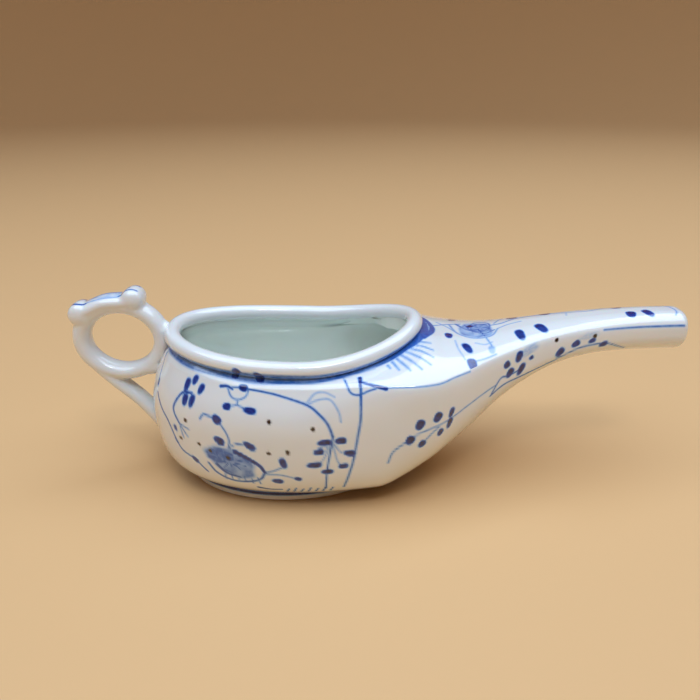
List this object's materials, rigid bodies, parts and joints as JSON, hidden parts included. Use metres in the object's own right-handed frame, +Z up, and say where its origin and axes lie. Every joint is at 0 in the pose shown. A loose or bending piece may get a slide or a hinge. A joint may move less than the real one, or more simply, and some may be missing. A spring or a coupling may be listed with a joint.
{
  "type": "invalid feeder cup",
  "caption": "Boat-shaped porcelain feeding cup with half cover, long spout, finger ring and thumb rest, blue and white.",
  "frame": {"origin": "on the ground under the middle of the overall length and width", "axes": "+X towards the spout, +Z up, Y across; the cup is the same on both sides of Y = 0"},
  "size_m": [0.184, 0.062, 0.0593],
  "materials": {
    "bowl": "glossy glaze over porcelain, painted cobalt blue",
    "cover": "glossy glaze over porcelain, painted cobalt blue",
    "rim_bead": "glossy glaze with a cobalt blue line",
    "spout": "glossy glaze over porcelain, painted cobalt blue",
    "foot_ring": "glossy glaze, bare at the resting edge",
    "handle_ring": "glossy glaze",
    "thumb_rest": "glossy glaze with cobalt blue lines",
    "handle_strut": "glossy glaze"
  },
  "bodies": {
    "root": {"bowl": "bowl", "cover": "cover", "rim_bead": "rim_bead", "spout": "spout", "foot_ring": "foot_ring", "handle_ring": "handle_ring", "thumb_rest": "thumb_rest", "handle_strut": "handle_strut"}
  },
  "joints": []
}
